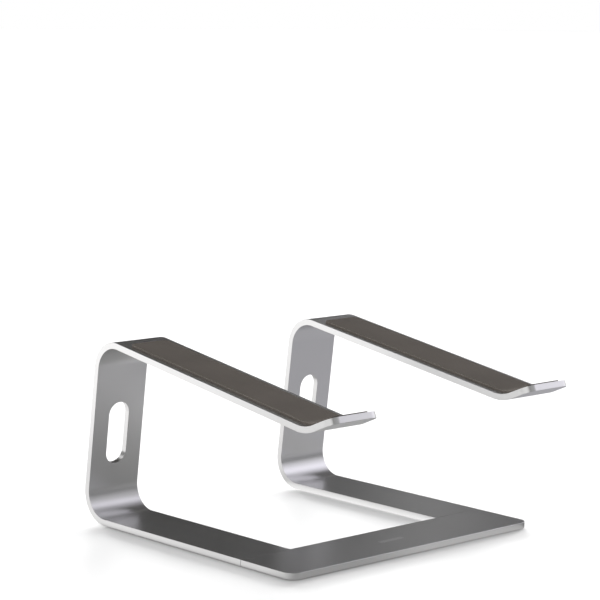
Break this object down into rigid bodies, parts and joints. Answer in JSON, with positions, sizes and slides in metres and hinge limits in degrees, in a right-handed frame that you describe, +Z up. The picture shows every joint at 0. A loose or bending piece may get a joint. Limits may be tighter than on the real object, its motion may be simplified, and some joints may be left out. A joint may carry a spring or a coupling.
{
  "type": "laptop stand",
  "caption": "Open laptop stand: bent flat aluminium arms with padded sloping tops, turned-up front lips and cable slots, screwed to a flat front crossbar on rubber feet.",
  "frame": {"origin": "centre of the bounding box at its base, on the surface the feet stand on", "axes": "+X to the user's right, +Y away from the user towards the uprights, +Z up"},
  "size_m": [0.26, 0.2914, 0.1518],
  "materials": {
    "aluminium": "fine bead-blasted and clear anodised, satin",
    "silicone": "matt warm grey silicone",
    "rubber": "matt black rubber",
    "steel": "plain zinc-plated machine screw"
  },
  "bodies": {
    "root": {"front_bar": "aluminium", "left_arm": "aluminium", "left_pad": "silicone", "left_screw_1": "steel", "left_screw_2": "steel", "left_front_foot": "rubber", "left_rear_foot": "rubber", "right_arm": "aluminium", "right_pad": "silicone", "right_screw_1": "steel", "right_screw_2": "steel", "right_front_foot": "rubber", "right_rear_foot": "rubber"}
  },
  "joints": []
}
